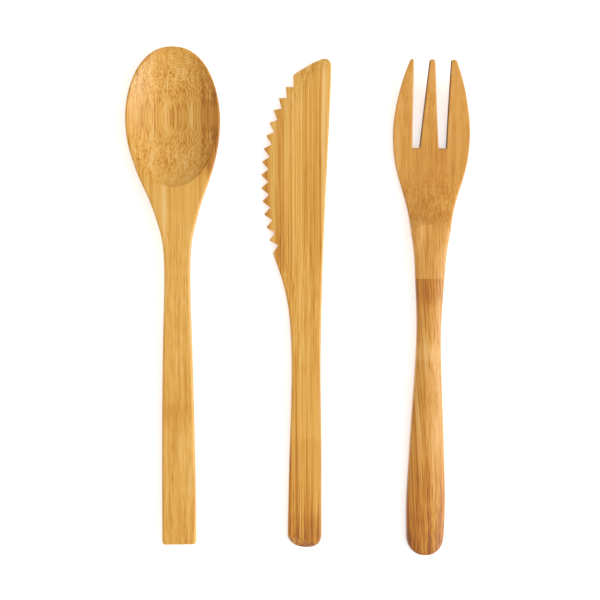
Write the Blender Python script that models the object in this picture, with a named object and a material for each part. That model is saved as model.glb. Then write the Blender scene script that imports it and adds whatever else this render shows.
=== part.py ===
"""Bamboo cutlery set: a spoon, a serrated knife and a fork, lying side by side on a table.

Each one is carved from a single slat of bamboo, so each is one solid. Lengths below are in
millimetres and angles in degrees. Every piece is drawn in its own frame, +Y from the end of the
handle to the tip and Z up from the table, and is then laid in its place.
"""

import math

import bmesh
import bpy
import numpy as np

MM = 0.001
CUTTER_REACH = 20.0  # how far a cutter passes the wood above and below
SQUARE_END_ARC = 1.3  # corner radius of a sawn end, seen from above
ROLL_SHARE = 0.42  # the most of the thickness that one rolled edge may take

# Spoon
SPOON_TIP = 99.3
SPOON_HANDLE_END = -99.8
SPOON_PLACE = (-49.2, 2.32)
SPOON_TURN = 0.8
SPOON_EDGE_RADIUS = 1.0
BOWL_WIDEST = 68.0  # position of the bowl's widest section
BOWL_HALF_WIDTH = 18.85
SPOON_HALF_WIDTHS = [
    (-99.8, 6.8), (-74, 6.7), (-42, 6.28), (-14, 5.65), (6, 5.2), (14, 5.3), (22, 6.0), (30, 7.95),
    (38, 10.55), (46, 13.8), (54, 16.5), (62, 18.3), (68, 18.85), (82, 18.95), (99.3, 18.9),
]
SPOON_AXIS = [(-99.8, 0.1), (-50, 0.45), (0, 0.9), (30, 1.1), (45, 0.7), (60, 0.25), (99.3, 0.2)]
SPOON_TOP = [(-99.8, 4.2), (-60, 6.1), (-20, 7.9), (10, 9.3), (28, 9.9), (44, 9.9), (70, 9.7), (99.3, 9.4)]
SPOON_UNDER = [
    (-99.8, 0.0), (-60, 1.7), (-20, 3.4), (10, 4.7), (28, 5.0), (38, 4.3), (46, 2.6), (56, 0.7),
    (68, 0.0), (80, 0.7), (92, 3.4), (99.3, 7.4),
]
SPOON_EDGE_THICKNESS = [(28, 4.9), (38, 4.4), (50, 3.2), (68, 2.4), (99.3, 2.0)]
BELLY_POWER = 2.3
HOLLOW_CENTRE = 70.6
HOLLOW_HALF_LENGTH = 27.0
HOLLOW_HALF_WIDTH = 18.0
HOLLOW_DEPTH = 6.2
HOLLOW_MILL_RADIUS = 20.0  # height of the ellipsoid whose cap is the hollow

# Knife
KNIFE_TIP = 98.1
KNIFE_HANDLE_END = -98.1
KNIFE_PLACE = (2.9, -0.58)
KNIFE_EDGE_RADIUS = 0.9
KNIFE_SPINE = [
    (-98.1, 6.5), (-75, 6.45), (-51, 6.4), (-31, 6.1), (-4, 6.4), (25, 7.3), (57, 8.8), (85, 10.1),
    (92, 10.35), (98.1, 10.4),
]
KNIFE_BELLY = [
    (-98.1, -7.2), (-75, -6.8), (-51, -6.1), (-27, -5.55), (-11, -6.0), (1, -7.4), (11, -9.9),
    (20, -13.0), (30, -15.6), (40, -17.2), (48, -17.8), (61, -16.9), (71.5, -14.7), (82, -10.8),
    (91.1, -4.9),
]
KNIFE_POINT = [(91.1, -4.9), (92.3, -3.8), (93.9, -1.1), (95.5, 1.5), (97.1, 4.7), (98.1, 7.4)]
KNIFE_TIP_ARC = 3.2  # rounding of the tip's corner at the spine
KNIFE_TIP_SIDE = 7.4  # where that rounding meets the slope of the point
KNIFE_END_ARC = 5.6
KNIFE_END_MIDDLE = 0.8  # the furthest point of the rounded end, across the handle
KNIFE_TOP = [(-98.1, 4.7), (-60, 5.0), (-22, 4.7), (0, 4.2), (20, 3.8), (98.1, 3.6)]
TOOTH_COUNT = 14
TEETH_FROM = 91.1
TEETH_TO = 20.0
NOTCH_DEPTH = 2.9
NOTCH_CUTTER_REACH = 4.0  # how far each notch's cutter passes the edge
NOTCH_LEAN_TIP = 21.0  # how far the first notch leans towards the tip, from square to the edge
NOTCH_LEAN_HEEL = 4.0
GRIND_WIDTH = 9.5
GRIND_DROP = 1.1  # taken off each face at the cutting edge
GRIND_POWER = 1.5
GRIND_FADES = (6.0, 24.0)  # the ground face runs out between these positions

# Fork
FORK_TIP = 98.9
FORK_HANDLE_END = -99.2
FORK_PLACE = (52.3, -2.43)
FORK_TURN = -0.95
FORK_EDGE_RADIUS = 1.6
FORK_END_ARC = 8.2
FORK_HALF_WIDTHS = [
    (-99.2, 7.4), (-91, 7.5), (-82, 7.75), (-70, 7.5), (-54, 6.8), (-38, 6.0), (-22, 5.2),
    (-6, 4.95), (6, 5.5), (14, 6.0), (22, 6.6), (30, 7.8), (38, 9.1), (46, 11.2), (53, 13.3),
    (60, 14.8), (66, 15.35), (72, 15.4), (80, 14.5), (90, 12.25), (96, 10.3), (98.9, 9.2),
]
FORK_TOP = [(-99.2, 6.0), (-80, 6.8), (-60, 7.4), (-30, 8.3), (0, 9.4), (20, 9.9), (98.9, 9.9)]
FORK_DISH = [
    (25, 14.0), (33, 10.0), (37, 7.9), (42, 6.1), (48, 4.8), (56, 3.9), (64, 3.6), (72, 3.9),
    (82, 5.4), (98.9, 9.2),
]
DISH_ARC = 0.0375  # how fast the dish's edge curves away from the handle, per mm
DISH_ARC_FADES = (42, 66)  # between these places the curve of the edge dies out towards the tines
FORK_UNDER = [
    (-99.2, 0.2), (-88, 0.0), (-60, 0.9), (-30, 2.4), (0, 4.0), (20, 4.5), (30, 4.0), (38, 2.7),
    (46, 1.2), (54, 0.3), (62, 0.0), (70, 0.5), (80, 2.2), (98.9, 7.4),
]
SLOT_ROOT = 63.9
SLOT_LEFT = ((-7.6, -7.8), (-4.8, -1.6))  # each wall's place at the root and at the tips
SLOT_RIGHT = ((2.9, 0.7), (5.9, 6.9))

ALONG_STEP = 4.5  # spacing of the sections along a piece
ACROSS = 17  # points across each face of a section
ARC_STEPS = 7  # sections in a rounded end


def smooth(stations, at):
    """A smooth curve through a few (position, value) stations: a natural cubic spline."""
    x, y = np.array(stations, float).T
    gap = np.diff(x)
    slope = np.diff(y) / gap
    system = np.eye(len(x))
    pull = np.zeros(len(x))
    inner = np.arange(1, len(x) - 1)
    system[inner, inner - 1] = gap[:-1]
    system[inner, inner] = 2 * (gap[:-1] + gap[1:])
    system[inner, inner + 1] = gap[1:]
    pull[inner] = 6 * np.diff(slope)
    bend = np.linalg.solve(system, pull)
    at = np.clip(np.asarray(at, float), x[0], x[-1])
    k = np.clip(np.searchsorted(x, at, side="right") - 1, 0, len(x) - 2)
    a, b, h = x[k + 1] - at, at - x[k], gap[k]
    return (
        (bend[k] * a**3 + bend[k + 1] * b**3) / (6 * h)
        + (y[k] / h - bend[k] * h / 6) * a
        + (y[k + 1] / h - bend[k + 1] * h / 6) * b
    )


def fade(at, start, end):
    """0 at start and 1 at end, easing in and out between them."""
    t = np.clip((at - start) / (end - start), 0, 1)
    return t * t * (3 - 2 * t)


def round_end(at, start, end, power=2.2):
    """1 up to start, then falling to 0 at end as a quarter of a superellipse does."""
    u = np.clip((at - start) / (end - start), 0, 1)
    return (1 - u**power) ** (1 / power)


def section_positions(low, high, low_arc, high_arc):
    """Positions along a piece: even steps, drawing close together in the rounded ends."""
    turn = np.linspace(0, math.pi / 2, ARC_STEPS)
    straight = np.arange(low + low_arc, high - high_arc, ALONG_STEP)[1:]
    start = low + low_arc * (1 - np.sin(turn[::-1]))
    end = high - high_arc * (1 - np.sin(turn))
    return np.concatenate([start, straight, end])


def distance_to_outline(x, y):
    """Distance from each point of the grid to the line that runs round the grid's border."""
    border_x = np.concatenate([x[:, 0], x[-1, :], x[::-1, -1], x[0, ::-1]])
    border_y = np.concatenate([y[:, 0], y[-1, :], y[::-1, -1], y[0, ::-1]])
    start = np.stack([border_x, border_y], 1)
    step = np.roll(start, -1, axis=0) - start
    point = np.stack([x.ravel(), y.ravel()], 1)[:, None, :]
    reach = np.maximum((step**2).sum(1), 1e-12)
    share = np.clip(((point - start) * step).sum(2) / reach, 0, 1)
    nearest = start + share[..., None] * step
    return np.sqrt(((point - nearest) ** 2).sum(2)).min(1).reshape(x.shape)


def loft(name, positions, left, right, top, under, edge_radius):
    """A carved slat: two faces lofted over the same outline, and the wall between their borders.

    left and right give the outline at each position, top and under the height of each face at
    (x, y, s), where s runs from -1 at the left edge to 1 at the right one. Both faces roll over
    towards the outline by edge_radius.
    """
    s = np.sin(np.linspace(-math.pi / 2, math.pi / 2, ACROSS))[None, :]
    y = np.repeat(positions[:, None], ACROSS, axis=1)
    middle = (left + right)[:, None] / 2
    x = middle + (right - left)[:, None] / 2 * s
    high, low = top(x, y, s), under(x, y, s)
    radius = np.minimum(edge_radius, ROLL_SHARE * (high - low))
    inside = np.clip(radius - distance_to_outline(x, y), 0, radius)
    roll = radius - np.sqrt(radius**2 - inside**2)

    mesh = bmesh.new()
    faces = [
        [[mesh.verts.new(p) for p in row] for row in np.stack([x, y, z], 2) * MM]
        for z in (high - roll, low + roll)
    ]
    upper, lower = faces
    rows, columns = x.shape
    for i in range(rows - 1):
        for j in range(columns - 1):
            mesh.faces.new((upper[i][j], upper[i][j + 1], upper[i + 1][j + 1], upper[i + 1][j]))
            mesh.faces.new((lower[i][j], lower[i + 1][j], lower[i + 1][j + 1], lower[i][j + 1]))
    border = (
        [(i, 0) for i in range(rows)]
        + [(rows - 1, j) for j in range(1, columns)]
        + [(i, columns - 1) for i in range(rows - 2, -1, -1)]
        + [(0, j) for j in range(columns - 2, 0, -1)]
    )
    for (i, j), (k, m) in zip(border, border[1:] + border[:1]):
        mesh.faces.new((upper[i][j], upper[k][m], lower[k][m], lower[i][j]))
    bmesh.ops.remove_doubles(mesh, verts=mesh.verts, dist=0.01 * MM)
    bmesh.ops.triangulate(mesh, faces=mesh.faces)
    bmesh.ops.recalc_face_normals(mesh, faces=mesh.faces)
    data = bpy.data.meshes.new(name)
    mesh.to_mesh(data)
    mesh.free()
    data.shade_smooth()
    return bpy.data.objects.new(name, data)


def prism(name, outline):
    """A cutter that stands through the wood: a flat outline, extruded up and down."""
    flat = bpy.data.curves.new(name, "CURVE")
    flat.dimensions = "2D"
    flat.fill_mode = "BOTH"
    flat.extrude = CUTTER_REACH * MM
    line = flat.splines.new("POLY")
    line.points.add(len(outline) - 1)
    for point, (x, y) in zip(line.points, outline):
        point.co = (x * MM, y * MM, 0, 1)
    line.use_cyclic_u = True
    guide = bpy.data.objects.new(name + "_outline", flat)
    bpy.context.scene.collection.objects.link(guide)
    graph = bpy.context.evaluated_depsgraph_get()
    data = bpy.data.meshes.new_from_object(guide.evaluated_get(graph))
    bpy.data.objects.remove(guide)
    mesh = bmesh.new()
    mesh.from_mesh(data)
    bmesh.ops.remove_doubles(mesh, verts=mesh.verts, dist=0.001 * MM)
    bmesh.ops.recalc_face_normals(mesh, faces=mesh.faces)
    mesh.to_mesh(data)
    mesh.free()
    return bpy.data.objects.new(name, data)


def bowl_mill():
    """The cutter for the bowl: an ellipsoid, of which only the lowest cap meets the wood."""
    above = HOLLOW_MILL_RADIUS - HOLLOW_DEPTH
    share = math.sqrt(1 - (above / HOLLOW_MILL_RADIUS) ** 2)
    bpy.ops.mesh.primitive_uv_sphere_add(segments=56, ring_count=30, radius=MM)
    mill = bpy.context.object
    mill.name = "bowl_mill"
    mill.scale = (HOLLOW_HALF_WIDTH / share, HOLLOW_HALF_LENGTH / share, HOLLOW_MILL_RADIUS)
    bpy.ops.object.transform_apply(location=False, rotation=False, scale=True)
    axis = float(smooth(SPOON_AXIS, HOLLOW_CENTRE))
    rim = float(smooth(SPOON_TOP, HOLLOW_CENTRE))
    mill.location = (axis * MM, HOLLOW_CENTRE * MM, (rim + above) * MM)
    return mill


def spoon_body():
    """The spoon before its bowl is hollowed: a flat handle that deepens into a round belly."""
    y = section_positions(
        SPOON_HANDLE_END, SPOON_TIP, SQUARE_END_ARC, SPOON_TIP - BOWL_WIDEST
    )
    corner = SQUARE_END_ARC * (
        1 - round_end(-y, -SPOON_HANDLE_END - SQUARE_END_ARC, -SPOON_HANDLE_END, power=2)
    )
    half = (smooth(SPOON_HALF_WIDTHS, y) - corner) * round_end(y, BOWL_WIDEST, SPOON_TIP)
    axis = smooth(SPOON_AXIS, y)

    def top(x, y, s):
        return smooth(SPOON_TOP, y)

    def under(x, y, s):
        high, low = smooth(SPOON_TOP, y), smooth(SPOON_UNDER, y)
        edge = np.minimum(smooth(SPOON_EDGE_THICKNESS, y), high - low)
        return low + (high - edge - low) * np.abs(s) ** BELLY_POWER

    return loft("spoon", y, axis - half, axis + half, top, under, SPOON_EDGE_RADIUS)


def knife_edge(y):
    """The knife's cutting side: the belly up to the first tooth, then the slope to the tip."""
    return np.where(y < TEETH_FROM, smooth(KNIFE_BELLY, y), smooth(KNIFE_POINT, y))


def knife_body():
    """The knife before its teeth are cut: a flat slat, ground thinner towards the edge."""
    y = section_positions(KNIFE_HANDLE_END, KNIFE_TIP, KNIFE_END_ARC, KNIFE_TIP_ARC)
    y = np.unique(np.concatenate([y, [row[0] for row in KNIFE_POINT[:-1]]]))
    left, right = knife_edge(y), smooth(KNIFE_SPINE, y)
    end = round_end(-y, -KNIFE_HANDLE_END - KNIFE_END_ARC, -KNIFE_HANDLE_END)
    tip = round_end(y, KNIFE_TIP - KNIFE_TIP_ARC, KNIFE_TIP)
    left = np.where(y < 0, KNIFE_END_MIDDLE + (left - KNIFE_END_MIDDLE) * end, left)
    right = np.where(y < 0, KNIFE_END_MIDDLE + (right - KNIFE_END_MIDDLE) * end, right)
    right = np.where(y > 0, KNIFE_TIP_SIDE + (right - KNIFE_TIP_SIDE) * tip, right)

    def ground(x, y):
        from_edge = np.clip(1 - (x - knife_edge(y)) / GRIND_WIDTH, 0, 1)
        return GRIND_DROP * from_edge**GRIND_POWER * fade(y, *GRIND_FADES)

    def top(x, y, s):
        return smooth(KNIFE_TOP, y) - ground(x, y)

    def under(x, y, s):
        return ground(x, y)

    return loft("knife", y, left, right, top, under, KNIFE_EDGE_RADIUS)


def tooth_tips():
    """The teeth's points, evenly spaced along the cutting edge."""
    y = np.linspace(TEETH_FROM, TEETH_TO, 200)
    x = smooth(KNIFE_BELLY, y)
    run = np.concatenate([[0], np.cumsum(np.hypot(np.diff(x), np.diff(y)))])
    at = np.linspace(0, run[-1], TOOTH_COUNT + 1)
    return np.stack([np.interp(at, run, x), np.interp(at, run, y)], 1)


def notch_cutters():
    """One V for each gap between two teeth, leaning towards the tip where the edge curves most."""
    tips = tooth_tips()
    cutters = []
    for i, (a, b) in enumerate(zip(tips[:-1], tips[1:])):
        along = (b - a) / np.linalg.norm(b - a)
        square = math.atan2(-along[0], along[1])
        lean = NOTCH_LEAN_TIP + (NOTCH_LEAN_HEEL - NOTCH_LEAN_TIP) * min(1, 2 * i / TOOTH_COUNT)
        turn = square - math.radians(lean)
        outward = np.array([math.cos(turn), math.sin(turn)])
        if outward[0] > 0:
            outward = -outward
        root = (a + b) / 2 - NOTCH_DEPTH * outward
        past = NOTCH_CUTTER_REACH * outward
        cutters.append(prism(f"notch_{i + 1:02d}", [root, a, a + past, b + past, b]))
    return cutters


def fork_body():
    """The fork before its slots are cut: a dished head, a waisted neck and a full handle."""
    y = section_positions(FORK_HANDLE_END, FORK_TIP, FORK_END_ARC, SQUARE_END_ARC)
    end = round_end(-y, -FORK_HANDLE_END - FORK_END_ARC, -FORK_HANDLE_END)
    half = smooth(FORK_HALF_WIDTHS, y) * end

    def top(x, y, s):
        arc = DISH_ARC * (1 - fade(y, *DISH_ARC_FADES))
        return np.minimum(smooth(FORK_TOP, y), smooth(FORK_DISH, y + arc * x**2))

    def under(x, y, s):
        return smooth(FORK_UNDER, y)

    return loft("fork", y, -half, half, top, under, FORK_EDGE_RADIUS)


def slot_cutters():
    """The two gaps between the tines, with square roots and walls that spread to the tips."""
    past_tip = FORK_TIP + 5
    cutters = []
    for name, walls in (("slot_left", SLOT_LEFT), ("slot_right", SLOT_RIGHT)):
        spread = (past_tip - SLOT_ROOT) / (FORK_TIP - SLOT_ROOT)
        (left, left_tip), (right, right_tip) = walls
        far_left = left + (left_tip - left) * spread
        far_right = right + (right_tip - right) * spread
        outline = [(left, SLOT_ROOT), (right, SLOT_ROOT), (far_right, past_tip), (far_left, past_tip)]
        cutters.append(prism(name, outline))
    return cutters


def bamboo(name, colour):
    """Sanded and oiled bamboo: a satin skin with no metal in it."""
    material = bpy.data.materials.new(name)
    material.use_nodes = True
    shader = material.node_tree.nodes["Principled BSDF"]
    shader.inputs["Base Color"].default_value = (*colour, 1)
    shader.inputs["Roughness"].default_value = 0.5
    shader.inputs["Metallic"].default_value = 0
    material.diffuse_color = (*colour, 1)
    return material


def lay(piece, place, turn, cutters, material):
    """Puts a finished piece on the table, with its cutters at work on it."""
    pieces.objects.link(piece)
    piece.data.materials.append(material)
    piece.parent = table
    piece.location = (place[0] * MM, place[1] * MM, 0)
    piece.rotation_euler.z = math.radians(turn)
    for cutter in cutters:
        for home in list(cutter.users_collection):
            home.objects.unlink(cutter)
        tools.objects.link(cutter)
        cutter.parent = piece
        cutter.hide_render = True
        cutter.display_type = "WIRE"
        cut = piece.modifiers.new(cutter.name, "BOOLEAN")
        cut.operation = "DIFFERENCE"
        cut.solver = "EXACT"
        cut.object = cutter


for leftover in list(bpy.data.objects):
    bpy.data.objects.remove(leftover)
pieces = bpy.data.collections.new("bamboo_cutlery")
tools = bpy.data.collections.new("cutters")
bpy.context.scene.collection.children.link(pieces)
bpy.context.scene.collection.children.link(tools)
table = bpy.data.objects.new("table_top", None)
pieces.objects.link(table)

lay(spoon_body(), SPOON_PLACE, SPOON_TURN, [bowl_mill()], bamboo("spoon_bamboo", (0.74, 0.42, 0.11)))
lay(knife_body(), KNIFE_PLACE, 0, notch_cutters(), bamboo("knife_bamboo", (0.71, 0.38, 0.09)))
lay(fork_body(), FORK_PLACE, FORK_TURN, slot_cutters(), bamboo("fork_bamboo", (0.64, 0.32, 0.08)))
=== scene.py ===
# %% [markdown]
# # A bamboo spoon, knife and fork
#
# Three table pieces, each carved in one from a slat of bamboo: sawn to its outline, ground to
# shape on a belt, hollowed or slotted, then sanded and oiled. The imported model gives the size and
# the place of each; this lesson makes the fine surfaces and the bamboo itself.

# %% The frame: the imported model, in metres
import math

import bpy
import numpy as np
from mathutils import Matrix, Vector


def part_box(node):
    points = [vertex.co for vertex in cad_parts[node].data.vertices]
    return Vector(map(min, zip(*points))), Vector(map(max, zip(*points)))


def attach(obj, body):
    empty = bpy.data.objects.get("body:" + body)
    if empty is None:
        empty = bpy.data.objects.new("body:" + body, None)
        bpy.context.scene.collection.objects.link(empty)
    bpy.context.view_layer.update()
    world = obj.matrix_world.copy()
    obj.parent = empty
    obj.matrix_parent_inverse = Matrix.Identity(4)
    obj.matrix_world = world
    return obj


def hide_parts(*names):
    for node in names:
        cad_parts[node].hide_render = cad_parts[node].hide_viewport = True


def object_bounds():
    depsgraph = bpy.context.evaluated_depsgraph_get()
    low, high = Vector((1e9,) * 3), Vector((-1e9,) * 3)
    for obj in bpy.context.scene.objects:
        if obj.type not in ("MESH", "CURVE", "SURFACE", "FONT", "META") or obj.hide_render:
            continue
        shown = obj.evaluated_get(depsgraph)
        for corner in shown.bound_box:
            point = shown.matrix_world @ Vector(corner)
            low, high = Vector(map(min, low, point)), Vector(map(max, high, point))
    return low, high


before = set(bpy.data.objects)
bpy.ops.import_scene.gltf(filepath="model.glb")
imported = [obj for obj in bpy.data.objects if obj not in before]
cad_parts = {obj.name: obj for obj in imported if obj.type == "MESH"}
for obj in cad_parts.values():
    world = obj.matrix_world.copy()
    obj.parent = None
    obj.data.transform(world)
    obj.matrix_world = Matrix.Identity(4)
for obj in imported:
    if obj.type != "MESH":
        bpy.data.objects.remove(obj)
cad_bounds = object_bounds()
MM = 0.001
print("packed model", [[round(float(v) / MM, 1) for v in corner] for corner in cad_bounds], "mm")

# %% [markdown]
# ## Curves through a few stations
#
# A carver works from a few widths and heights marked along the slat and fairs a smooth line
# through them. A natural cubic spline is that line: it passes each mark and bends as little as it
# can. A wooden batten bent round pins draws the same curve, which is why carvers use one. Straight
# runs between the marks would be simpler, but they leave a flat and a ridge at each mark.


# %% A batten through the marks
def batten(marks, at):
    """The natural cubic spline through (position, value) marks, read at the positions given.

    Its second derivatives solve one tridiagonal system; between two marks the curve is the cubic
    that has them at its ends.
    """
    x, y = np.array(marks, float).T
    gap = np.diff(x)
    system = np.eye(len(x))
    pull = np.zeros(len(x))
    inner = np.arange(1, len(x) - 1)
    system[inner, inner - 1] = gap[:-1]
    system[inner, inner] = 2 * (gap[:-1] + gap[1:])
    system[inner, inner + 1] = gap[1:]
    pull[inner] = 6 * np.diff(np.diff(y) / gap)
    bend = np.linalg.solve(system, pull)
    at = np.clip(np.asarray(at, float), x[0], x[-1])
    k = np.clip(np.searchsorted(x, at, side="right") - 1, 0, len(x) - 2)
    a, b, h = x[k + 1] - at, at - x[k], gap[k]
    return (
        (bend[k] * a**3 + bend[k + 1] * b**3) / (6 * h)
        + (y[k] / h - bend[k] * h / 6) * a
        + (y[k + 1] / h - bend[k + 1] * h / 6) * b
    )


def fade(at, start, end):
    """0 at start and 1 at end, by the cubic 3t^2 - 2t^3 between them."""
    t = np.clip((at - start) / (end - start), 0, 1)
    return t * t * (3 - 2 * t)


def round_end(at, start, end, power=2.2):
    """1 up to start, then down to 0 at end as a quarter of the superellipse u^p + v^p = 1."""
    u = np.clip((at - start) / (end - start), 0, 1)
    return (1 - u**power) ** (1 / power)


# %% [markdown]
# ## From a plan to a solid
#
# Seen from above, each piece is a flat outline. Its two faces lie over the same plan, so one grid
# of plan points serves both: the upper face lifts it to one height, the lower face to another, and
# a wall joins them round the border. The plan is made of patches, grids of rows and columns that
# share their edges, because a fork's slots and a knife's teeth don't fit in one grid. A Boolean cut
# would make the same outline, but it leaves long thin triangles that shade badly.
#
# Sanding rounds every edge. The roll is a quarter circle in the distance to the outline: at the
# border the face has dropped by the radius and stands upright, and one radius in it is level again.


# %% Patches
def ruled(left, right, across):
    """A patch whose rows run straight from the left rail to the right one.

    left and right are (rows, 2) arrays of points; across is the share of the way, from 0 to 1.
    """
    share = across[None, :, None]
    return left[:, None, :] * (1 - share) + right[:, None, :] * share


def crowded_both(count):
    """Shares from 0 to 1 that crowd at both ends: half of 1 - cos of an even angle."""
    return (1 - np.cos(np.linspace(0, math.pi, count))) / 2


def crowded_start(count):
    """Shares from 0 to 1 that crowd at the start: 1 - cos of an even angle up to a quarter turn."""
    return 1 - np.cos(np.linspace(0, math.pi / 2, count))


# %% Plans
SAME_PLACE = 1e-4  # points that round to the same multiple of this, in mm, are one
NO_AREA = 1e-9  # quads smaller than this, in square mm, are left out
BLOCK = 2000  # points measured at a time, to spare memory


def weld(patches):
    """(plan points, quads) of patches put together, with points at the same place made one.

    Each quad's area is half the cross product of its diagonals; where that is below zero the quad
    is turned round, so that all of them face up.
    """
    points, quads, base = [], [], 0
    for patch in patches:
        rows, columns = patch.shape[:2]
        index = base + np.arange(rows * columns).reshape(rows, columns)
        corners = (index[:-1, :-1], index[:-1, 1:], index[1:, 1:], index[1:, :-1])
        quads.append(np.stack(corners, -1).reshape(-1, 4))
        points.append(patch.reshape(-1, 2))
        base += rows * columns
    points, quads = np.concatenate(points), np.concatenate(quads)
    places = np.round(points / SAME_PLACE)
    _, first, same = np.unique(places, axis=0, return_index=True, return_inverse=True)
    points, quads = points[first], same.reshape(-1)[quads]
    a, b, c, d = (points[quads[:, k]] for k in range(4))
    area = np.cross(c - a, d - b) / 2
    quads[area < 0] = quads[area < 0][:, ::-1]
    return points, quads[np.abs(area) > NO_AREA]


def border_of(quads):
    """The directed edges that only one quad uses, which go anticlockwise round the plan."""
    edges = np.stack([quads, np.roll(quads, -1, axis=1)], -1).reshape(-1, 2)
    edges = edges[edges[:, 0] != edges[:, 1]]
    reach = int(edges.max()) + 1
    code = edges.min(1) * reach + edges.max(1)
    _, place, uses = np.unique(code, return_inverse=True, return_counts=True)
    return edges[uses[place.reshape(-1)] == 1]


def distance_inside(points, border, limit):
    """Distance of each plan point to the nearest border edge, or limit where it is further.

    The nearest place on an edge is the point's projection on it, held between the edge's ends.
    """
    start = points[border[:, 0]]
    step = points[border[:, 1]] - start
    length = np.maximum((step**2).sum(1), 1e-12)
    away = np.full(len(points), float(limit))
    for low in range(0, len(points), BLOCK):
        block = points[low : low + BLOCK]
        near = np.all((start > block.min(0) - limit) & (start < block.max(0) + limit), axis=1)
        if not near.any():
            continue
        offset = block[:, None] - start[near]
        share = np.clip((offset * step[near]).sum(2) / length[near], 0, 1)
        gap = offset - share[..., None] * step[near]
        away[low : low + BLOCK] = np.minimum(np.sqrt((gap**2).sum(2)).min(1), limit)
    return away


# %% Solids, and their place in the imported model
ROLL_SHARE = 0.45  # an edge rolls through this share of the thickness at most


def solid(name, plan, top, under, radius):
    """A closed mesh object over a plan, in millimetres and in the piece's own frame.

    top, under and radius give each face's height and the edge's rounding at (x, y). With d the
    distance to the outline and r the radius, a face drops by r - sqrt(r^2 - (r - d)^2).
    """
    points, quads = plan
    x, y = points.T
    high, low = top(x, y), under(x, y)
    r = np.minimum(radius(x, y), ROLL_SHARE * (high - low))
    border = border_of(quads)
    inside = np.clip(r - distance_inside(points, border, float(r.max())), 0, r)
    roll = r - np.sqrt(np.maximum(r**2 - inside**2, 0))
    count = len(points)
    upper = np.stack([x, y, high - roll], 1)
    lower = np.stack([x, y, low + roll], 1)
    a, b = border.T
    wall = np.stack([a + count, b + count, b, a], 1)
    faces = np.concatenate([quads, quads[:, ::-1] + count, wall])
    triangles = np.concatenate([faces[:, [0, 1, 2]], faces[:, [0, 2, 3]]])
    p, q, s = triangles.T
    triangles = triangles[(p != q) & (q != s) & (s != p)]
    return name, np.concatenate([upper, lower]), triangles


def lay_down(name, vertices, triangles, turn):
    """Turns a piece about Z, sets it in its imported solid's box, and makes the object.

    The middles of the two boxes meet in X and Y, and their floors in Z. Returns the object and the
    shift in mm.
    """
    c, s = math.cos(math.radians(turn)), math.sin(math.radians(turn))
    spot = vertices @ np.array([[c, s, 0], [-s, c, 0], [0, 0, 1]])
    low, high = (np.array(corner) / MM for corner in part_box(name))
    own_low, own_high = spot.min(0), spot.max(0)
    shift = (low + high - own_low - own_high) / 2
    shift[2] = low[2] - own_low[2]
    spot = (spot + shift) * MM
    mesh = bpy.data.meshes.new(name + "_carved")
    mesh.vertices.add(len(spot))
    mesh.vertices.foreach_set("co", spot.astype(np.float32).ravel())
    mesh.loops.add(triangles.size)
    mesh.loops.foreach_set("vertex_index", triangles.astype(np.int32).ravel())
    mesh.polygons.add(len(triangles))
    mesh.polygons.foreach_set("loop_start", np.arange(0, triangles.size, 3, dtype=np.int32))
    mesh.update(calc_edges=True)
    mesh.shade_smooth()
    piece = bpy.data.objects.new(name + "_carved", mesh)
    bpy.context.scene.collection.objects.link(piece)
    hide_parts(name)
    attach(piece, "root")
    own, packed = own_high - own_low, high - low
    beside = f"{own.round(1)} mm beside {packed.round(1)} mm packed"
    print(f"{name}: {beside}, {len(triangles)} triangles")
    return piece, shift


# %% [markdown]
# ## The spoon
#
# Its handle is a flat bar, sawn square at the end. The neck thickens and spreads into an egg-shaped
# bowl, whose underside is ground round and whose inside is milled out to a crisp rim, wider at the
# neck than at the lip. Rings of points from the middle of the hollow out to the rim, and from the
# rim to the outline, put a row of points exactly on that crisp line; a square grid would cross it
# in steps. The handle's grid joins the rings at a line across the neck.

# %% The spoon's marks, in millimetres along its own +Y, from its handle to its lip
SPOON_TIP, SPOON_END = 99.3, -99.8
SPOON_TURN = 0.8  # degrees about Z
BOWL_WIDEST = 68.0
NECK_CUT = 33.0
SPOON_HALF_WIDTHS = [
    (-99.8, 6.8), (-74, 6.7), (-42, 6.28), (-14, 5.65), (6, 5.2), (14, 5.3), (22, 6.0), (30, 7.95),
    (38, 10.55), (46, 13.8), (54, 16.5), (62, 18.3), (68, 18.85), (82, 18.95), (99.3, 18.9),
]
SPOON_AXIS = [(-99.8, 0.1), (-50, 0.45), (0, 0.9), (30, 1.1), (45, 0.7), (60, 0.25), (99.3, 0.2)]
SPOON_TOP = [
    (-99.8, 4.2), (-60, 6.1), (-20, 7.9), (10, 9.3), (28, 9.9), (44, 9.9), (70, 9.7), (99.3, 9.4),
]
SPOON_UNDER = [
    (-99.8, 0.0), (-60, 1.7), (-20, 3.4), (10, 4.7), (28, 5.0), (38, 4.3), (46, 2.6), (56, 0.7),
    (68, 0.0), (80, 0.7), (92, 3.4), (99.3, 7.4),
]
SPOON_EDGE_THICKNESS = [(28, 4.9), (38, 4.4), (50, 3.2), (68, 2.4), (99.3, 2.0)]
BELLY_POWER = 2.3
HOLLOW_CENTRE = np.array([0.2, 70.9])
HOLLOW_HALF = np.array([18.2, 27.6])
HOLLOW_DEPTH = 6.2
MILL_SHARE = 0.72  # how much of an ellipsoid's half-width the hollow's rim takes
NECK_WALL_EASE, NECK_WALL_FROM, NECK_WALL_WHOLE = 0.22, 66, 46  # the hollow's wall at the neck
SAWN_CORNER = 1.3
NARROWEST = 0.3  # no half-width is divided by less
HEAD_FROM, HEAD_WHOLE = 30, 60  # where a handle's rounding gives way to a head's
SPOON_ROUNDING, LIP_FINER = 1.0, 0.35
# how many rows, columns and rings the plan has
SPOON_COLUMNS, BOWL_ROWS, LIP_ROWS, HANDLE_ROWS, CORNER_ROWS = 56, 110, 70, 300, 12
HOLLOW_RINGS, RIM_RINGS = 46, 26


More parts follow.
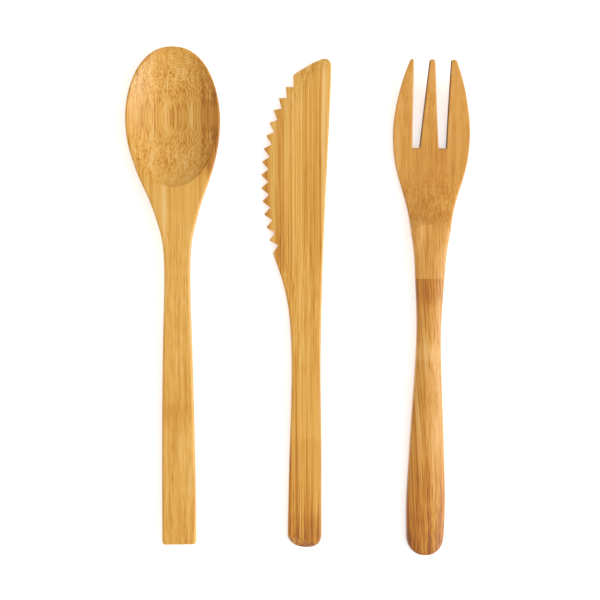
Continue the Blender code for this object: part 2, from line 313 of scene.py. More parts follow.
def spoon_half(y):
    """Half the spoon's width: the batten, rounded off to the lip and at the sawn corners."""
    corner = SAWN_CORNER * (1 - round_end(-y, -SPOON_END - SAWN_CORNER, -SPOON_END, power=2))
    return (batten(SPOON_HALF_WIDTHS, y) - corner) * round_end(y, BOWL_WIDEST, SPOON_TIP)


def hollow_share(x, y):
    """0 in the middle of the hollow and 1 on its rim, an ellipse: the root of u^2 + v^2."""
    u = (x - HOLLOW_CENTRE[0]) / HOLLOW_HALF[0]
    v = (y - HOLLOW_CENTRE[1]) / HOLLOW_HALF[1]
    return np.sqrt(u**2 + v**2)


def spoon_top(x, y):
    """The handle's face, less the cap of an ellipsoid inside the rim, steeper towards the neck.

    The cap's height at a share of the way out is sqrt(1 - (m share)^2), m being the mill's share,
    stretched so that it is 1 in the middle and 0 on the rim.
    """
    share = np.minimum(hollow_share(x, y), 1)
    at_rim = math.sqrt(1 - MILL_SHARE**2)
    cap = (np.sqrt(1 - (MILL_SHARE * share) ** 2) - at_rim) / (1 - at_rim)
    steep = 1 - NECK_WALL_EASE * fade(-y, -NECK_WALL_FROM, -NECK_WALL_WHOLE)
    return batten(SPOON_TOP, y) - HOLLOW_DEPTH * np.maximum(cap, 0) ** steep


def spoon_under(x, y):
    """The belly: its lowest line plus a rise that grows as |s|^2.3 towards each edge."""
    high, low = batten(SPOON_TOP, y), batten(SPOON_UNDER, y)
    edge = np.minimum(batten(SPOON_EDGE_THICKNESS, y), high - low)
    s = np.clip((x - batten(SPOON_AXIS, y)) / np.maximum(spoon_half(y), NARROWEST), -1, 1)
    return low + (high - edge - low) * np.abs(s) ** BELLY_POWER


def spoon_plan():
    """Rings round the hollow and a grid down the handle, joined at the neck."""
    lip = SPOON_TIP - (SPOON_TIP - BOWL_WIDEST) * crowded_start(LIP_ROWS)
    y = np.concatenate([np.linspace(NECK_CUT, BOWL_WIDEST, BOWL_ROWS)[:-1], lip[::-1]])
    axis, half = batten(SPOON_AXIS, y), spoon_half(y)
    right, left = np.stack([axis + half, y], 1), np.stack([axis - half, y], 1)
    columns = crowded_both(SPOON_COLUMNS)
    neck = left[0] + (right[0] - left[0]) * columns[:, None]
    outline = np.concatenate([right, left[::-1][1:], neck[1:]])
    way = (outline - HOLLOW_CENTRE) / HOLLOW_HALF
    rim = HOLLOW_CENTRE + HOLLOW_HALF * way / np.linalg.norm(way, axis=1, keepdims=True)
    middle = np.repeat(HOLLOW_CENTRE[None], len(outline), axis=0)
    bowl = ruled(middle, rim, np.sin(np.linspace(0, math.pi / 2, HOLLOW_RINGS)))
    edge = ruled(rim, outline, crowded_both(RIM_RINGS))
    end = SPOON_END + SAWN_CORNER * crowded_start(CORNER_ROWS)
    y = np.concatenate([end, np.linspace(end[-1], NECK_CUT, HANDLE_ROWS)[1:]])
    axis, half = batten(SPOON_AXIS, y), spoon_half(y)
    handle = ruled(np.stack([axis - half, y], 1), np.stack([axis + half, y], 1), columns)
    return weld([bowl, edge, handle])


def spoon_radius(x, y):
    """The edges are sanded to 1 mm on the handle and finer round the lip."""
    return SPOON_ROUNDING - LIP_FINER * fade(y, HEAD_FROM, HEAD_WHOLE)


# %% The spoon
spoon, spoon_shift = lay_down(
    *solid("spoon", spoon_plan(), spoon_top, spoon_under, spoon_radius), SPOON_TURN
)

# %% [markdown]
# ## The knife
#
# A flat slat with a round-ended handle and a broad blade. The blade is ground thinner over the last
# centimetre, and the V-shaped teeth are sawn into that edge, leaning towards the tip where the edge
# curves most. A strip of rows follows the teeth, in and out of each notch, and every row runs
# inwards along the saw's own direction to a smooth line behind the teeth. Rows straight across the
# blade would cross each other in the leaning notches. A belt has taken a small facet off the left
# corner of the handle's end; it is cut into the height of the upper face, because it is too slight
# to show in the plan.

# %% The knife's marks, from the end of its handle to its tip
KNIFE_TIP, KNIFE_END = 98.1, -98.1
KNIFE_SPINE = [
    (-98.1, 6.5), (-75, 6.45), (-51, 6.4), (-31, 6.1), (-4, 6.4), (25, 7.3), (57, 8.8), (85, 10.1),
    (92, 10.35), (98.1, 10.4),
]
KNIFE_BELLY = [
    (-98.1, -7.2), (-75, -6.8), (-51, -6.1), (-27, -5.55), (-11, -6.0), (1, -7.4), (11, -9.9),
    (20, -13.0), (30, -15.6), (40, -17.2), (48, -17.8), (61, -16.9), (71.5, -14.7), (82, -10.8),
    (91.1, -4.9),
]
KNIFE_POINT = [(91.1, -4.9), (92.3, -3.8), (93.9, -1.1), (95.5, 1.5), (97.1, 4.7), (98.1, 7.4)]
KNIFE_TIP_ARC, KNIFE_END_ARC = 3.2, 5.6
KNIFE_TIP_SIDE = 7.4
KNIFE_TOP = [(-98.1, 4.7), (-60, 5.0), (-22, 4.7), (0, 4.2), (20, 3.8), (98.1, 3.6)]
TEETH_FROM, TEETH_TO, TOOTH_COUNT = 91.1, 20.0, 14
NOTCH_DEPTH = 2.9
NOTCH_LEAN_TIP, NOTCH_LEAN_HEEL = 21.0, 4.0
GRIND_WIDTH, GRIND_DROP, GRIND_POWER = 9.5, 1.1, 1.5
GRIND_FROM, GRIND_WHOLE = 6, 24
KNIFE_END_MIDDLE = 0.8  # the handle's end is rounded about this X
END_FACET_DROP, END_FACET_WIDTH = 2.0, 2.8
END_FACET_LINE, END_FACET_SLANT = 94.8, 0.3  # where it starts, and how much lower per mm of X
KNIFE_ROUNDING, SPINE_FINER, TEETH_FINER = 1.1, 0.35, 0.5
BLADE_FROM, BLADE_WHOLE = 2, 20
TEETH_SIDE, SPINE_SIDE = 4, 7  # how far from the cutting edge the finer rounding fades out
FLANK_ROWS = 13
STRIP = 7.0  # how far behind the tooth tips the smooth line lies
EDGE_SAMPLES = 400
# how many rows and columns the plan has
STRIP_COLUMNS, BLADE_COLUMNS = 20, 34
KNIFE_END_ROWS, KNIFE_HANDLE_ROWS, KNIFE_TIP_ROWS = 40, 240, 44


def toward(angle):
    """Unit vectors at the angles given, in radians from +X."""
    return np.stack([np.cos(angle), np.sin(angle)], 1)


def read_line(at, marks, points):
    """Points read along a line that passes each point at its mark, straight between them."""
    return np.stack([np.interp(at, marks, points[:, k]) for k in range(2)], 1)


def tooth_rails():
    """(tooth line, smooth line behind it), row by row from the heel to the tip.

    Tips are evenly spaced along the belly's length; a root lies one notch depth in from the middle
    of its gap, square to the edge and turned by the lean.
    """
    y = np.linspace(TEETH_TO, TEETH_FROM, EDGE_SAMPLES)
    line = np.stack([batten(KNIFE_BELLY, y), y], 1)
    run = np.concatenate([[0], np.cumsum(np.linalg.norm(np.diff(line, axis=0), axis=1))])
    share = np.linspace(0, 1, 2 * TOOTH_COUNT * FLANK_ROWS + 1)
    edge = read_line(share * run[-1], run, line)
    along = np.gradient(edge, axis=0)
    from_tip = np.clip(2 * (1 - share), 0, 1)
    lean = np.radians(NOTCH_LEAN_TIP + (NOTCH_LEAN_HEEL - NOTCH_LEAN_TIP) * from_tip)
    inward = np.arctan2(-along[:, 0], along[:, 1]) - lean
    tips = edge[:: 2 * FLANK_ROWS]
    roots = (tips[:-1] + tips[1:]) / 2 + NOTCH_DEPTH * toward(inward)[FLANK_ROWS :: 2 * FLANK_ROWS]
    corners = np.empty((2 * TOOTH_COUNT + 1, 2))
    corners[::2], corners[1::2] = tips, roots
    teeth = read_line(share * 2 * TOOTH_COUNT, np.arange(len(corners)), corners)
    level = fade(share, 0, 1 / TOOTH_COUNT)
    return teeth, edge + STRIP * toward(inward * level)


def coons(bottom, left, right):
    """A patch that starts on the bottom row and closes where its two side rails meet.

    It is the sum of the two ruled surfaces, bottom to meeting point and left to right, less the
    flat blend of the corners that both of them hold.
    """
    step = np.linalg.norm(np.diff(bottom, axis=0), axis=1)
    u = np.concatenate([[0], np.cumsum(step)])[None, :, None]
    u = u / u.max()
    v = crowded_both(len(left))[:, None, None]
    close = left[-1]
    corners = (1 - v) * ((1 - u) * bottom[0] + u * bottom[-1]) + v * close
    return (1 - v) * bottom + v * close + (1 - u) * left[:, None] + u * right[:, None] - corners


def knife_edge(y):
    """The cutting side: the belly up to the first tooth, then the slope to the tip."""
    return np.where(y < TEETH_FROM, batten(KNIFE_BELLY, y), batten(KNIFE_POINT, y))


def knife_plan():
    """The handle, the strip of teeth, the blade behind it, and the tip."""
    teeth, behind = tooth_rails()
    spine_y = np.linspace(TEETH_TO, TEETH_FROM, len(teeth))
    spine = np.stack([batten(KNIFE_SPINE, spine_y), spine_y], 1)
    near, far = crowded_start(STRIP_COLUMNS), 1 - crowded_start(BLADE_COLUMNS)[::-1]
    strip, blade = ruled(teeth, behind, near), ruled(behind, spine, far)

    end = KNIFE_END + KNIFE_END_ARC * crowded_start(KNIFE_END_ROWS)
    y = np.concatenate([end, np.linspace(end[-1], TEETH_TO, KNIFE_HANDLE_ROWS)[1:]])
    narrow = round_end(-y, -KNIFE_END - KNIFE_END_ARC, -KNIFE_END)
    left = KNIFE_END_MIDDLE + (knife_edge(y) - KNIFE_END_MIDDLE) * narrow
    right = KNIFE_END_MIDDLE + (batten(KNIFE_SPINE, y) - KNIFE_END_MIDDLE) * narrow
    split = (behind[0, 0] - teeth[0, 0]) / (spine[0, 0] - teeth[0, 0])
    across = np.concatenate([near * split, split + (1 - split) * far[1:]])
    handle = ruled(np.stack([left, y], 1), np.stack([right, y], 1), across)

    turn = np.linspace(0, math.pi / 2, KNIFE_TIP_ROWS)
    y = TEETH_FROM + (KNIFE_TIP - TEETH_FROM) * np.sin(turn)
    slope = knife_edge(np.maximum(y, TEETH_FROM))
    rounding = round_end(y, KNIFE_TIP - KNIFE_TIP_ARC, KNIFE_TIP)
    back = KNIFE_TIP_SIDE + (batten(KNIFE_SPINE, y) - KNIFE_TIP_SIDE) * rounding
    slope_line, back_line = np.stack([slope, y], 1), np.stack([back, y], 1)
    tip = coons(np.concatenate([strip[-1], blade[-1, 1:]]), slope_line, back_line)
    return weld([handle, strip, blade, tip])


def ground_away(x, y):
    """What the grinding takes off each face: a power of the nearness to the cutting edge.

    It is also the height of the knife's lower face, which lies flat on the table elsewhere.
    """
    nearness = np.clip(1 - (x - knife_edge(y)) / GRIND_WIDTH, 0, 1)
    return GRIND_DROP * nearness**GRIND_POWER * fade(y, GRIND_FROM, GRIND_WHOLE)


def knife_top(x, y):
    """The slat's face, less the grinding and a flat facet across the left corner of the end."""
    past_line = -END_FACET_LINE - y - END_FACET_SLANT * x
    facet = END_FACET_DROP * np.clip(past_line / END_FACET_WIDTH, 0, 1)
    return batten(KNIFE_TOP, y) - ground_away(x, y) - facet


def knife_radius(x, y):
    """The handle is sanded round, the spine less so, and the teeth keep a nearly sharp arris."""
    blade = fade(y, BLADE_FROM, BLADE_WHOLE)
    cutting_side = 1 - fade(x - knife_edge(y), TEETH_SIDE, SPINE_SIDE)
    return KNIFE_ROUNDING - blade * (SPINE_FINER + TEETH_FINER * cutting_side)


# %% The knife
knife, knife_shift = lay_down(
    *solid("knife", knife_plan(), knife_top, ground_away, knife_radius), turn=0
)

# %% [markdown]
# ## The fork
#
# Two slots are sawn into a wide head, which leaves three tines with blunt tips. The head is dished
# along its length, low under the slots' roots and rising to the tips, and it steps up in a short
# ramp to a full, rounded handle. Each tine is a grid of its own on top of the head's grid, whose
# columns crowd at the slots' walls and even out again down the neck.

# %% The fork's marks, from the end of its handle to its tips
FORK_TIP, FORK_END = 98.9, -99.2
FORK_TURN = -0.95  # degrees about Z
FORK_END_ARC = 8.2
FORK_HALF_WIDTHS = [
    (-99.2, 7.4), (-91, 7.5), (-82, 7.75), (-70, 7.5), (-54, 6.8), (-38, 6.0), (-22, 5.2),
    (-6, 4.95), (6, 5.5), (14, 6.0), (22, 6.6), (30, 7.8), (38, 9.1), (46, 11.2), (53, 13.3),
    (60, 14.8), (66, 15.35), (72, 15.4), (80, 14.5), (90, 12.25), (96, 10.3), (98.9, 9.2),
]
FORK_TOP = [(-99.2, 6.0), (-80, 6.8), (-60, 7.4), (-30, 8.3), (0, 9.4), (20, 9.9), (98.9, 9.9)]
FORK_DISH = [
    (25, 14.0), (33, 10.0), (37, 7.9), (42, 6.1), (48, 4.8), (56, 3.9), (64, 3.6), (72, 3.9),
    (82, 5.4), (98.9, 9.2),
]
FORK_CROWN, CROWN_LOST, CROWN_FROM, CROWN_TO = 1.25, 0.85, 15, 33
DISH_ARC, ARC_FROM, ARC_TO = 0.0375, 42, 66  # per mm of width, and where it dies out
FORK_UNDER = [
    (-99.2, 0.2), (-88, 0.0), (-60, 0.9), (-30, 2.4), (0, 4.0), (20, 4.5), (30, 4.0), (38, 2.7),
    (46, 1.2), (54, 0.3), (62, 0.0), (70, 0.5), (80, 2.2), (98.9, 7.4),
]
SLOT_ROOT = 63.9
SLOT_WALLS = [(-7.6, -7.8), (-4.8, -1.6), (2.9, 0.7), (5.9, 6.9)]  # each at the root and the tips
TINE_BLUNT, TINE_POWER = 1.1, 2.6
FORK_ROUNDING, TINES_FINER = 1.3, 0.75
EVEN_AGAIN = 25  # how far below the slots' roots the columns are evenly spaced again
# how many rows and columns the plan has
TINE_ROWS, BLUNT_ROWS, FORK_END_ROWS, FORK_BODY_ROWS = 110, 14, 50, 330
TINE_COLUMNS, SLOT_COLUMNS = 25, 9


def fork_plan():
    """Three tines on a head whose columns run on down the handle."""
    y = SLOT_ROOT + (FORK_TIP - SLOT_ROOT) * np.linspace(0, 1, TINE_ROWS)
    tips = FORK_TIP - TINE_BLUNT * crowded_start(BLUNT_ROWS)[::-1]
    y = np.concatenate([y[y < FORK_TIP - TINE_BLUNT], tips])
    half = batten(FORK_HALF_WIDTHS, y)
    share = (y - SLOT_ROOT) / (FORK_TIP - SLOT_ROOT)
    walls = [low + (high - low) * share for low, high in SLOT_WALLS]
    sides = [-half, *walls, half]
    blunt = round_end(y, FORK_TIP - TINE_BLUNT, FORK_TIP, power=TINE_POWER)
    across = crowded_both(TINE_COLUMNS)
    tines = []
    for left, right in zip(sides[::2], sides[1::2]):
        middle, reach = (left + right) / 2, (right - left) / 2 * blunt
        near, far = np.stack([middle - reach, y], 1), np.stack([middle + reach, y], 1)
        tines.append(ruled(near, far, across))
    half = half[0]
    marks = [(wall[0] + half) / (2 * half) for wall in sides]
    groups = [across, np.linspace(0, 1, SLOT_COLUMNS)]
    spans = enumerate(zip(marks[:-1], marks[1:]))
    pieces = [a + (b - a) * groups[k % 2] for k, (a, b) in spans]
    split = np.concatenate([pieces[0]] + [piece[1:] for piece in pieces[1:]])
    even = crowded_both(len(split))
    end = FORK_END + FORK_END_ARC * crowded_start(FORK_END_ROWS)
    y = np.concatenate([end, np.linspace(end[-1], SLOT_ROOT, FORK_BODY_ROWS)[1:]])
    half = batten(FORK_HALF_WIDTHS, y) * round_end(-y, -FORK_END - FORK_END_ARC, -FORK_END)
    mix = fade(y, SLOT_ROOT - EVEN_AGAIN, SLOT_ROOT)[:, None]
    shares = even * (1 - mix) + split * mix
    rows = np.repeat(y[:, None], len(split), 1)
    body = np.stack([(2 * shares - 1) * half[:, None], rows], 2)
    return weld([body, *tines])


def fork_top(x, y):
    """The lower of two faces: the handle, crowned by a parabola, and the dish of the head.

    Near the ramp the dish is read further along by the square of x, so that its edge is an arc.
    """
    s = x / batten(FORK_HALF_WIDTHS, y)
    crown = FORK_CROWN - CROWN_LOST * fade(y, CROWN_FROM, CROWN_TO)
    handle = batten(FORK_TOP, y) - crown * s**2
    arc = DISH_ARC * (1 - fade(y, ARC_FROM, ARC_TO))
    return np.minimum(handle, batten(FORK_DISH, y + arc * x**2))


def fork_under(x, y):
    """The batten through the under side's marks, level from side to side."""
    return batten(FORK_UNDER, y)


def fork_radius(x, y):
    """Full and round along the handle, finer on the head and its tines."""
    return FORK_ROUNDING - TINES_FINER * fade(y, HEAD_FROM, HEAD_WHOLE)


# %% The fork
_, fork_points, fork_faces = solid("fork", fork_plan(), fork_top, fork_under, fork_radius)
fork, fork_shift = lay_down("fork", fork_points, fork_faces, FORK_TURN)

# %% [markdown]
# ### Painted shade on the tines' walls
#
# The tines' left-facing walls, on the right of each slot, face away from the window light; they are
# painted dark brown as shade, and so is a strip of each tine's top beside them. A number at each
# point of the mesh says how much, and the bamboo is mixed towards dark brown by it. A mark drawn in
# the material by position would also do, but the walls lean, each by its own angle, and the mesh
# already knows them.

# %% How much painted shade each point of the fork gets
SHADE_REACH, SHADE_POWER = 0.6, 0.7  # mm into the tine, and how slowly it pales
WALL_SLACK = 0.03  # points this far in front of the wall, in mm, still lie on it


def painted_wall_shade(points):
    """1 on the slots' left-facing walls, and down to 0 at the reach, as a power of the nearness."""
    x, y, _ = points.T
    share = (y - SLOT_ROOT) / (FORK_TIP - SLOT_ROOT)
    walls = np.array([low + (high - low) * share for low, high in SLOT_WALLS[1::2]])
    past = x - walls
    nearness = np.clip(1 - past / SHADE_REACH, 0, 1)
    brown = np.where(past > -WALL_SLACK, nearness, 0).max(0) ** SHADE_POWER
    return (brown * (share > 0)).astype(np.float32)


painted_shade = painted_wall_shade(fork_points)
fork.data.attributes.new("painted_shade", "FLOAT", "POINT").data.foreach_set("value", painted_shade)
# the count of points beside the slots that get painted shade
print("the saw scorched", int((painted_shade > 0).sum()), "points beside the slots")

# %% [markdown]
# ## Bamboo
#
# Bamboo has no rings. Bundles of dark fibre run straight up the stem, three tenths of a millimetre
# thick and under a millimetre apart, in a paler ground tissue. Cut along, they show as fine
# streaks, and cut across or on a slope as dots. So the pattern is a solid one, drawn in space and
# not on the surface: a bundle is a cell of a flat Voronoi pattern that stands square to the grain,
# and runs on along it with a slight wander. The hollow of the spoon and the ramp of the fork then
# show dots by themselves, where they slope, and the flats show streaks. A picture of wood wrapped
# round the pieces would show the same streaks everywhere.

# %% Colours and nodes
GOLDEN = (
    (0.0, "#884804"), (0.25, "#BC7808"), (0.5, "#DAA446"), (0.75, "#E8BD78"), (1.0, "#F2D29C"),
)
BROWN = (
    (0.0, "#864402"), (0.2, "#B46E04"), (0.36, "#CC9138"), (0.5, "#D8A258"), (0.75, "#E8BA78"),
    (1.0, "#F0CC90"),
)
# painted shade: the dark brown of the tines' left-facing walls
SHADE_BROWN = "#48280C"


def linear(code):
    """An sRGB hex colour as linear RGBA: v / 12.92 in the dark, ((v + 0.055) / 1.055)^2.4 above."""
    value = np.array([int(code[k : k + 2], 16) / 255 for k in (1, 3, 5)])
    curve = np.where(value <= 0.04045, value / 12.92, ((value + 0.055) / 1.055) ** 2.4)
    return (*curve.tolist(), 1.0)


def add(tree, kind, links=(), **settings):
    """A node of that kind with its settings made, and its inputs linked or given a value."""
    node = tree.nodes.new("ShaderNode" + kind)
    for key, value in settings.items():
        setattr(node, key, value)
    for name, value in dict(links).items():
        if isinstance(value, bpy.types.NodeSocket):
            tree.links.new(value, node.inputs[name])
        else:
            node.inputs[name].default_value = value
    return node


def piece_space(tree, shift, turn):
    """Millimetres from the piece's own origin: X across it, Y along it and Z up.

    It is what lay_down did, undone: less the shift, then turned back about Z.
    """
    place = add(tree, "TexCoord").outputs["Object"]
    moved = {0: place, 1: tuple(shift * MM)}
    centred = add(tree, "VectorMath", moved, operation="SUBTRACT").outputs[0]
    turned = {"Vector": centred, "Angle": -math.radians(turn)}
    straight = add(tree, "VectorRotate", turned, rotation_type="Z_AXIS").outputs[0]
    return add(tree, "VectorMath", {0: straight, "Scale": 1 / MM}, operation="SCALE").outputs[0]


# %% The bamboo material
RAMP_HALF = 100.0  # stops along a piece lie within this of its middle, in mm
RAGGED = 15.0  # how far fibres pass each other at a node, in mm
BUNDLES_CLOSER_UP = 1.7  # bundles stand closer through the thickness than across
BUNDLES_PER_MM, BUNDLE_EDGE, BUNDLE_CORE = 1.9, 0.42, 0.18  # the last two in cells from the middle
WANDER_PER_MM, WANDER_BY = (0.03, 0.02, 0.03), 0.8
STRIPES_PER_MM, STRIPE_WEIGHT = (0.42, 0.002, 0.42), 0.70  # 2 mm wide, as long as the piece
FIBRES_PER_MM, FIBRE_WEIGHT = (1.6, 0.006, 1.6), 0.80  # 0.6 mm wide
FLECKS_PER_MM = (3.0, 0.10, 3.0)  # 0.3 mm wide and 10 mm long, and only the strongest are pores
PORE_FROM, PORE_WHOLE, PORE_WEIGHT = 0.12, 0.24, -0.12
BLOTCHES_PER_MM = (0.11, 0.05, 0.11)  # 9 mm wide and 20 mm long
FIBRE_ENDS_PER_MM = (1.3, 0.0, 1.3)
RELIEF_STRENGTH, RELIEF_MM = 0.25, 0.1
SMOOTHEST, ROUGHEST = 0.34, 0.46


def bamboo(
    name, shift, turn, tone, contrast, dots, marks=(), lean=(), blotch=0.16, colours=GOLDEN
):
    """Sanded bamboo under a thin skin of oil: satin, with its grain along the piece.

    One number, the tone, gathers all that makes a spot lighter or darker: broad stripes, fine
    fibres, soft blotches, the cut bundles and the marks. A ramp turns it into colour, because dark
    bamboo is also redder. tone, contrast and dots are (position in mm, value) stops along the
    piece: the tone itself, how strong the streaks are and how plainly the bundles show. lean is
    stops too, in mm, of how far the grain has moved aside. blotch is how strong the blotches are. A
    mark is (tone, fade, fade, ...) and a fade is (axis, start, end): the mark is its tone times the
    product of its fades, each 0 at start and 1 at end. On the axis "fibre ends" a line is ragged,
    as at a node.
    """
    material = bpy.data.materials.new(name)
    material.use_nodes = True
    tree = material.node_tree
    tree.nodes.clear()
    own = piece_space(tree, shift, turn)
    across, along, _ = add(tree, "SeparateXYZ", {0: own}).outputs

    def sum_of(*terms):
        """The terms, sockets or numbers, added one after the other."""
        total = terms[0]
        for term in terms[1:]:
            total = add(tree, "Math", {0: total, 1: term}, operation="ADD").outputs[0]
        return total

    def times(value, weight):
        """The product of two sockets or numbers."""
        return add(tree, "Math", {0: value, 1: weight}, operation="MULTIPLY").outputs[0]

    def noise(place, per_mm, detail=2.0, roughness=0.5):
        """Noise about zero, from -0.5 to 0.5."""
        scaled = add(tree, "VectorMath", {0: place, 1: per_mm}, operation="MULTIPLY").outputs[0]
        settings = {"Vector": scaled, "Scale": 1.0, "Detail": detail, "Roughness": roughness}
        return sum_of(add(tree, "TexNoise", settings).outputs["Fac"], -0.5)

    def along_piece(y, stops):
        """A number that runs straight from stop to stop along the piece."""
        span = {"Value": y, "From Min": -RAMP_HALF, "From Max": RAMP_HALF}
        ramp = add(tree, "ValToRGB", {"Fac": add(tree, "MapRange", span).outputs[0]})
        elements = ramp.color_ramp.elements
        elements.remove(elements[1])
        for k, (position, value) in enumerate(sorted(stops)):
            place = (position + RAMP_HALF) / (2 * RAMP_HALF)
            element = elements.new(place) if k else elements[0]
            element.position, element.color = place, (value, value, value, 1)
        return ramp.outputs["Color"]

    # bundles wander by half a millimetre over some fifty, and lean where the slat was cut askew
    spread = {0: own, 1: WANDER_PER_MM}
    scaled = add(tree, "VectorMath", spread, operation="MULTIPLY").outputs[0]
    wander = add(tree, "TexNoise", {"Vector": scaled, "Scale": 1.0, "Detail": 0.0}).outputs["Color"]
    drift = add(tree, "VectorMath", {0: wander, "Scale": WANDER_BY}, operation="SCALE").outputs[0]
    bent = add(tree, "VectorMath", {0: own, 1: drift}, operation="ADD").outputs[0]
    if lean:
        aside = add(tree, "CombineXYZ", {"X": along_piece(along, lean)}).outputs[0]
        bent = add(tree, "VectorMath", {0: bent, 1: aside}, operation="SUBTRACT").outputs[0]

    stripes = noise(bent, STRIPES_PER_MM)
    fibres = noise(bent, FIBRES_PER_MM, detail=2.5, roughness=0.6)
    flecks = noise(bent, FLECKS_PER_MM, detail=1.0)
    blotches = noise(own, BLOTCHES_PER_MM)
    x, _, z = add(tree, "SeparateXYZ", {0: bent}).outputs
    section = add(tree, "CombineXYZ", {0: x, 1: times(z, BUNDLES_CLOSER_UP)}).outputs[0]
    cells = {"Vector": section, "Scale": BUNDLES_PER_MM, "Randomness": 0.85}
    distance = add(tree, "TexVoronoi", cells, voronoi_dimensions="2D").outputs["Distance"]
    bundle = {"Value": distance, "From Min": BUNDLE_EDGE, "From Max": BUNDLE_CORE, "To Max": -1.0}
    bundles = times(add(tree, "MapRange", bundle).outputs[0], along_piece(along, dots))
    pore = {"Value": flecks, "From Min": PORE_FROM, "From Max": PORE_WHOLE, "To Max": PORE_WEIGHT}
    pores = add(tree, "MapRange", pore).outputs[0]
    grain = sum_of(times(stripes, STRIPE_WEIGHT), times(fibres, FIBRE_WEIGHT), pores)
    streaks = times(grain, along_piece(along, contrast))

    fibre_ends = sum_of(along, times(noise(bent, FIBRE_ENDS_PER_MM, detail=1.0), RAGGED))
    axes = {"x": across, "y": along, "fibre ends": fibre_ends}
    shown = []
    for strength, *fades in marks:
        mark = strength
        for axis, start, end in fades:
            step = {"Value": axes[axis], "From Min": start, "From Max": end}
            share = add(tree, "MapRange", step, interpolation_type="SMOOTHSTEP").outputs[0]
            mark = times(share, mark)
        shown.append(mark)
    total = sum_of(along_piece(along, tone), streaks, times(blotches, blotch), bundles, *shown)
    ramp = add(tree, "ValToRGB", {"Fac": total})
    stops = ramp.color_ramp.elements
    stops.remove(stops[1])
    stops[0].position, stops[0].color = colours[0][0], linear(colours[0][1])
    for position, code in colours[1:]:
        stops.new(position).color = linear(code)

    # painted shade: the mesh's number mixes the colour towards dark brown on the tines' left-facing
    # walls and beside them
    painted_shade = add(tree, "Attribute", attribute_name="painted_shade").outputs["Fac"]
    shade_mix = {"Fac": painted_shade, "Color1": ramp.outputs["Color"], "Color2": linear(SHADE_BROWN)}
    wood = add(tree, "MixRGB", shade_mix).outputs["Color"]
    depth = {"Strength": RELIEF_STRENGTH, "Distance": RELIEF_MM * MM, "Height": total}
    relief = add(tree, "Bump", depth)
    sanding = {"Value": fibres, "From Min": -0.5, "From Max": 0.5}
    sanded = add(tree, "MapRange", {**sanding, "To Min": SMOOTHEST, "To Max": ROUGHEST})
    skin = {
        "Base Color": wood, "Roughness": sanded.outputs[0], "Normal": relief.outputs[0],
        "Metallic": 0.0, "IOR": 1.48, "Coat Weight": 0.4, "Coat Roughness": 0.36,
    }
    add(tree, "OutputMaterial", {"Surface": add(tree, "BsdfPrincipled", skin).outputs[0]})
    return material


# %% [markdown]
# ### One slat each
#
# The three pieces come from different slats. The spoon's is pale, its dots show only in the hollow,
# and a faint node crosses the handle; the hollow's right-hand wall, which faces away from the
# window light, is painted darker as shade. The knife's is striped from end to end. The fork's is
# browner and its grain leans; its node crosses under the head, with a darker patch on the left and
# a second dark line below. Painted shade darkens the left flank of the fork's handle, which faces
# away from the window light, and a touch of it tones down the window's highlight on the right
# flank. One material with the same numbers throughout would be simpler, but no two slats of a real
# set match.

# %% Bamboo on the three pieces
spoon.data.materials.append(
    bamboo(
        "oiled_bamboo_pale", spoon_shift, SPOON_TURN,
        contrast=((-100, 0.75), (40, 0.7), (98, 0.8)),
        tone=((-100, 0.44), (-60, 0.45), (0, 0.51), (30, 0.53), (98, 0.53)),
        dots=((-100, 0.05), (40, 0.08), (47, 0.10), (52, 0.26), (100, 0.26)),
        marks=(
            # painted shade on the hollow's right-hand wall, which faces away from the window light
            (-0.20, ("x", 6, 15), ("y", 44, 52)),  # the hollow's right-hand wall
            (-0.06, ("fibre ends", -43, -43.6)), (0.06, ("fibre ends", -47, -58)),  # the node
        ),
    )
)
knife.data.materials.append(
    bamboo(
        "oiled_bamboo_striped", knife_shift, 0, blotch=0.08,
        contrast=((-100, 1.1), (0, 1.05), (98, 0.95)),
        tone=((-100, 0.36), (-60, 0.40), (0, 0.48), (90, 0.56), (98, 0.53)),
        dots=((-100, 0.26), (-84, 0.16), (0, 0.10), (98, 0.10)),
        marks=(
            (-0.12, ("x", -8.2, -9.0)),  # beside the teeth
            (-0.05, ("fibre ends", -54.5, -55.0)), (-0.05, ("fibre ends", -84, -87)),
            (-0.12, ("y", -95.2, -97.4)),  # the facet at the end
        ),
    )
)
fork.data.materials.append(
    bamboo(
        "oiled_bamboo_brown", fork_shift, FORK_TURN, blotch=0.14, colours=BROWN,
        contrast=((-100, 0.85), (10, 0.75), (34, 0.6), (50, 0.4), (98, 0.35)),
        lean=((-100, 8.5), (-45, 5.5), (10, 0), (100, 0)),
        tone=(
            (-99, 0.04), (-88, 0.18), (-60, 0.33), (-45, 0.38), (-24, 0.39), (11, 0.40), (33, 0.39),
            (35, 0.33), (42, 0.33), (56, 0.34), (90, 0.375), (99, 0.36),
        ),
        dots=((-100, 0.12), (30, 0.10), (34, 0.14), (46, 0.09), (56, 0.05), (100, 0.04)),
        marks=(
            (-0.12, ("y", 11.6, 11.2)), (0.11, ("fibre ends", 4, -2)),  # the node
            (-0.08, ("x", 1.5, -2.5), ("y", 11.6, 11.2), ("fibre ends", -12, -6)),  # its patch
            (0.14, ("fibre ends", -12, -18)), (-0.12, ("fibre ends", -20.5, -22.0)),
            (0.05, ("fibre ends", -34, -50)),
            # painted shade on the handle's left flank, which faces away from the window light
            (-0.10, ("x", -2, -6.5), ("y", -30, -60)),  # the handle's left flank
            # a little painted shade on the right flank too, which tones down the window's highlight
            # there
            (-0.03, ("x", 3.5, 6.5), ("y", -40, -60)),  # and its right one
        ),
    )
)
for piece, slot_name in ((spoon, "spoon_bamboo"), (knife, "knife_bamboo"), (fork, "fork_bamboo")):
    print(piece.name, "is of", piece.data.materials[0].name, "in the slot", slot_name)

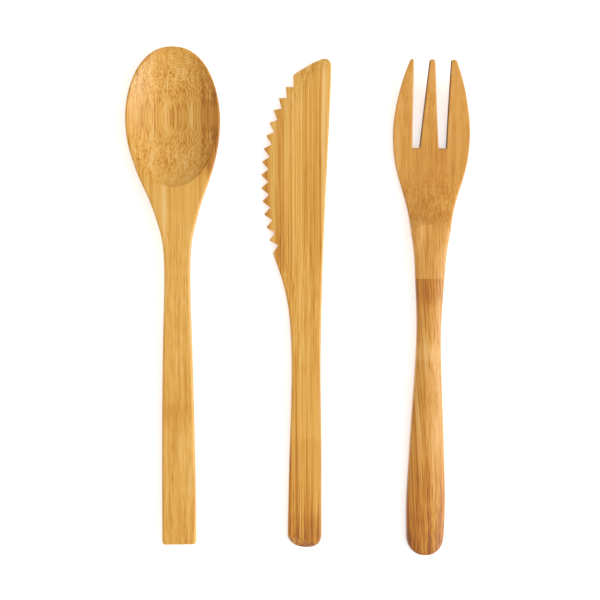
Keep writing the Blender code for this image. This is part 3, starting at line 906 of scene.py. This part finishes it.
# %% [markdown]
# ## The table, the light and the camera
#
# A matt white light table, the kind that small goods are laid on: its top glows faintly, so that it
# stays white and the shadows on it stay pale. The main light stands on the right, as a window does,
# so that right-hand edges shine and left-hand ones fall off, and a ceiling panel fills in. A plain
# white table lit more strongly would also be white, but the bamboo would be too light with it. The
# camera looks straight down from far enough away that the pieces keep their proportions.

# %% Table
TABLE_WIDTH = 3  # metres
TABLE_GAP = 0.02 * MM  # keeps the table's top and a flat underside from lying in one plane
TABLE_GLOW = 0.35

low, high = (np.array(corner) for corner in cad_bounds)
centre = (low + high) / 2
table_place = (centre[0], centre[1], low[2] - TABLE_GAP)
bpy.ops.mesh.primitive_plane_add(size=TABLE_WIDTH, location=table_place)
floor = bpy.context.object
floor.name = "pale_table"
white = bpy.data.materials.new("matt_white_laminate")
white.use_nodes = True
white_shader = white.node_tree.nodes["Principled BSDF"]
white_shader.inputs["Base Color"].default_value = linear("#F8F8F8")
white_shader.inputs["Roughness"].default_value = 0.9
white_shader.inputs["Emission Color"].default_value = (1, 1, 1, 1)
white_shader.inputs["Emission Strength"].default_value = TABLE_GLOW
floor.data.materials.append(white)
print("table", TABLE_WIDTH, "m wide, with its top", round(-table_place[2] / MM, 3), "mm below zero")

# %% Light
ROOM_STRENGTH = 0.58
world = bpy.data.worlds.new("soft_room")
bpy.context.scene.world = world
world.use_nodes = True
room = world.node_tree.nodes["Background"].inputs
room["Color"].default_value = (1, 1, 1, 1)
room["Strength"].default_value = ROOM_STRENGTH


def softbox(name, size, power, place):
    """A square light, of a size in metres and a power in watts, that faces the frame's origin."""
    light = bpy.data.lights.new(name, "AREA")
    light.size, light.energy = size, power
    lamp = bpy.data.objects.new(name, light)
    bpy.context.scene.collection.objects.link(lamp)
    lamp.location = place
    away = lamp.location.normalized()
    lamp.rotation_euler = away.to_track_quat("Z", "Y").to_euler()
    print(name, power, "W at", place)
    return lamp


softbox("window_right", size=1.0, power=10.8, place=(1.0, -0.3, 0.62))
ceiling = softbox("ceiling_panel", size=1.6, power=8, place=(0.1, 0.1, 1.6))
ceiling.visible_glossy = False  # a diffuse bounce, which leaves no sheen on the flats

# %% Camera
CAMERA_HEIGHT = 0.8  # metres
CAMERA_ASIDE = (0.7 * MM, 0.6 * MM)  # from the middle of the pieces
VIEW_WIDTH = 0.24  # seen at half the pieces' height
SENSOR_WIDTH = 36  # mm

camera_data = bpy.data.cameras.new("overhead")
camera_data.sensor_width = SENSOR_WIDTH
camera_data.lens = camera_data.sensor_width * (CAMERA_HEIGHT - centre[2]) / VIEW_WIDTH
camera = bpy.data.objects.new("overhead", camera_data)
camera.location = (centre[0] + CAMERA_ASIDE[0], centre[1] + CAMERA_ASIDE[1], CAMERA_HEIGHT)
bpy.context.scene.collection.objects.link(camera)
bpy.context.scene.camera = camera
bpy.context.scene.view_settings.view_transform = "Standard"
print("camera", CAMERA_HEIGHT, "m up, with a lens of", round(camera_data.lens, 1), "mm")

# %% The scene, brought up to date
bpy.context.view_layer.update()
